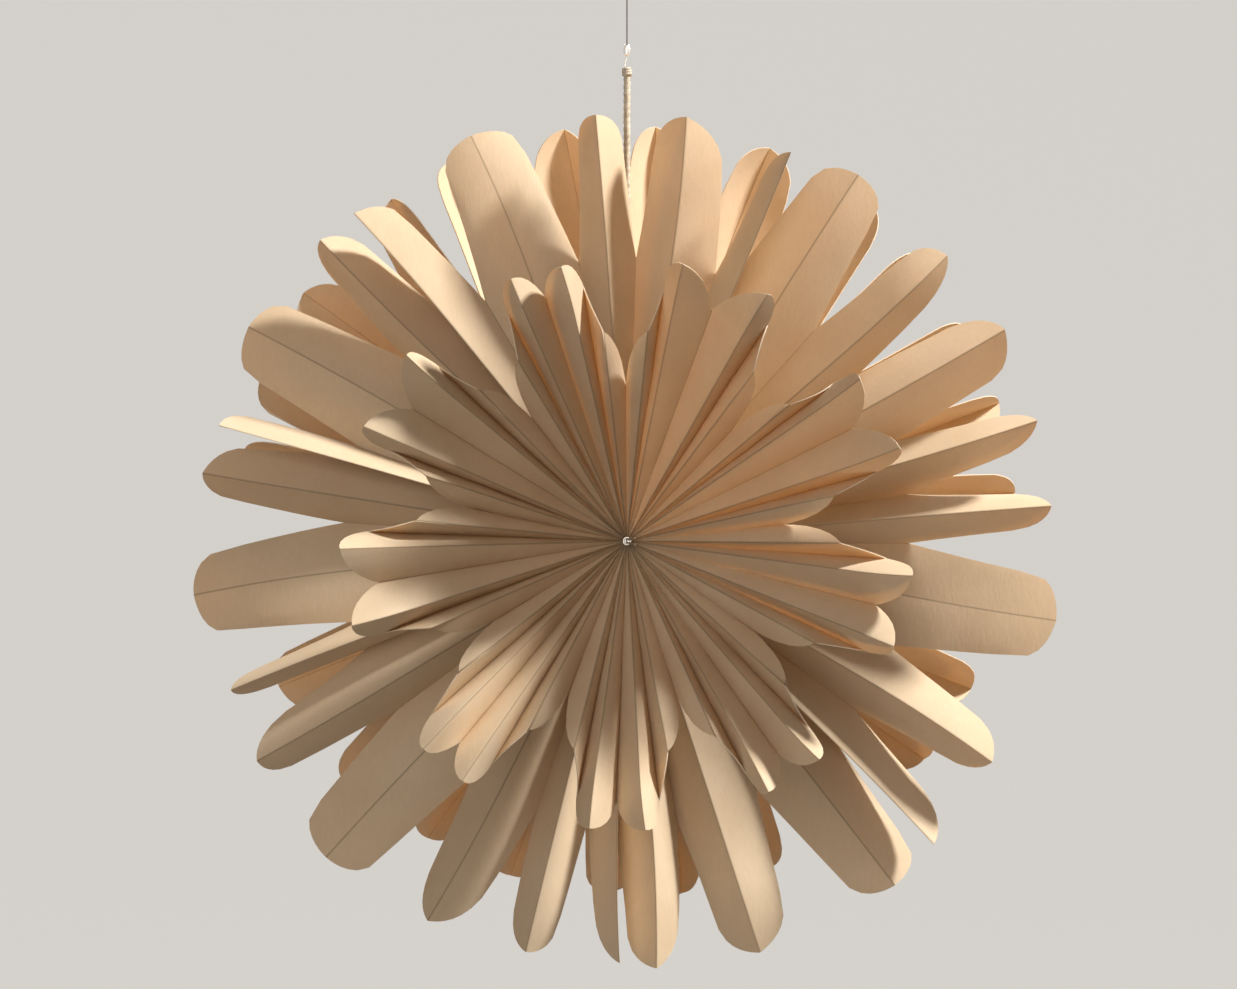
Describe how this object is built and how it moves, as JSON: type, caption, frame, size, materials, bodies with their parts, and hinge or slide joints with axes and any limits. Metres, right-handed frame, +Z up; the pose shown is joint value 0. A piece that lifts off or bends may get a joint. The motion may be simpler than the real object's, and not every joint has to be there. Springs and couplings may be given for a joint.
{
  "type": "paper ball ornament",
  "caption": "Hanging ball ornament of accordion-folded paper sheets with rounded petals, tied at its middle and hung on a cord and thread.",
  "frame": {"origin": "hanging point, inside the top of the thread's loop", "axes": "+Z up along the thread, front of the ball towards -Y, +Y along the axis that the sheets fan round"},
  "size_m": [0.2896, 0.242, 0.3505],
  "materials": {
    "paper": "matt",
    "cord": "twisted cotton",
    "thread": "smooth",
    "bright_metal": "polished",
    "binding_wire": "drawn wire"
  },
  "bodies": {
    "root": {"front_outer_sheet": "paper", "rear_outer_sheet": "paper", "front_inner_sheet": "paper", "rear_inner_sheet": "paper", "binding_wire": "binding_wire", "centre_knot": "cord", "hanging_cord": "cord", "cord_end_knot": "cord", "wire_hook": "bright_metal", "swivel_bead": "bright_metal", "hanging_thread": "thread", "loop_knot": "thread", "thread_loop": "thread"}
  },
  "joints": []
}
